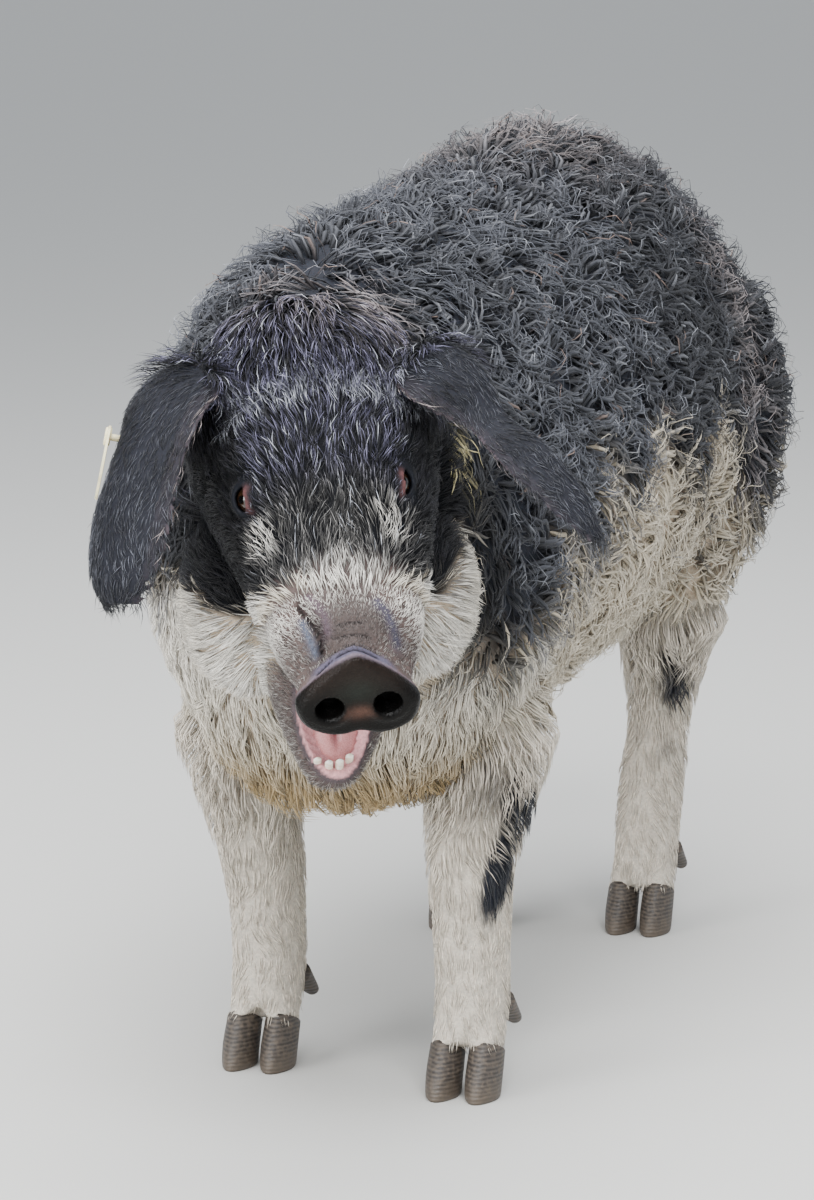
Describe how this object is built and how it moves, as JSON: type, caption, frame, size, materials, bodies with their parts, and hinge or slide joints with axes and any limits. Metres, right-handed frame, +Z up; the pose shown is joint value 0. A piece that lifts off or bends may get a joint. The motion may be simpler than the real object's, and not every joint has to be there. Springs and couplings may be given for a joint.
{
  "type": "mangalica pig",
  "caption": "Life-size still mangalica pig, standing with a curly coat, lop ears, open mouth and a plain ear tag.",
  "frame": {"origin": "on the ground, below the middle of the pig's bounding box", "axes": "+Z up, the pig faces -Y and its left side is +X"},
  "size_m": [0.5286, 1.4783, 0.8196],
  "materials": {
    "black_coat": "dense curly coat, blue-black with silvery tips, standing for the dark hair and skin",
    "cream_coat": "short curly cream hair",
    "muzzle_skin": "short-haired grey-mauve skin",
    "mouth_skin": "moist pink skin",
    "ear_skin": "thin slate skin with sparse hair",
    "eye_brown": "dark wet eye",
    "horn": "dark keratin, satin",
    "tag_cream": "plain cream plastic, no marks"
  },
  "bodies": {
    "root": {"torso": "black_coat", "neck": "black_coat", "head": "black_coat", "tail": "black_coat", "leg_front_left": "cream_coat", "leg_front_right": "cream_coat", "leg_hind_left": "cream_coat", "leg_hind_right": "cream_coat", "jaw": "muzzle_skin", "tongue": "mouth_skin", "ear_left": "ear_skin", "ear_right": "ear_skin", "eye_left": "eye_brown", "eye_right": "eye_brown", "claw_front_left_inner": "horn", "dewclaw_front_left_inner": "horn", "claw_front_left_outer": "horn", "dewclaw_front_left_outer": "horn", "claw_front_right_inner": "horn", "dewclaw_front_right_inner": "horn", "claw_front_right_outer": "horn", "dewclaw_front_right_outer": "horn", "claw_hind_left_inner": "horn", "dewclaw_hind_left_inner": "horn", "claw_hind_left_outer": "horn", "dewclaw_hind_left_outer": "horn", "claw_hind_right_inner": "horn", "dewclaw_hind_right_inner": "horn", "claw_hind_right_outer": "horn", "dewclaw_hind_right_outer": "horn", "tag_plate": "tag_cream", "tag_button": "tag_cream"}
  },
  "joints": []
}
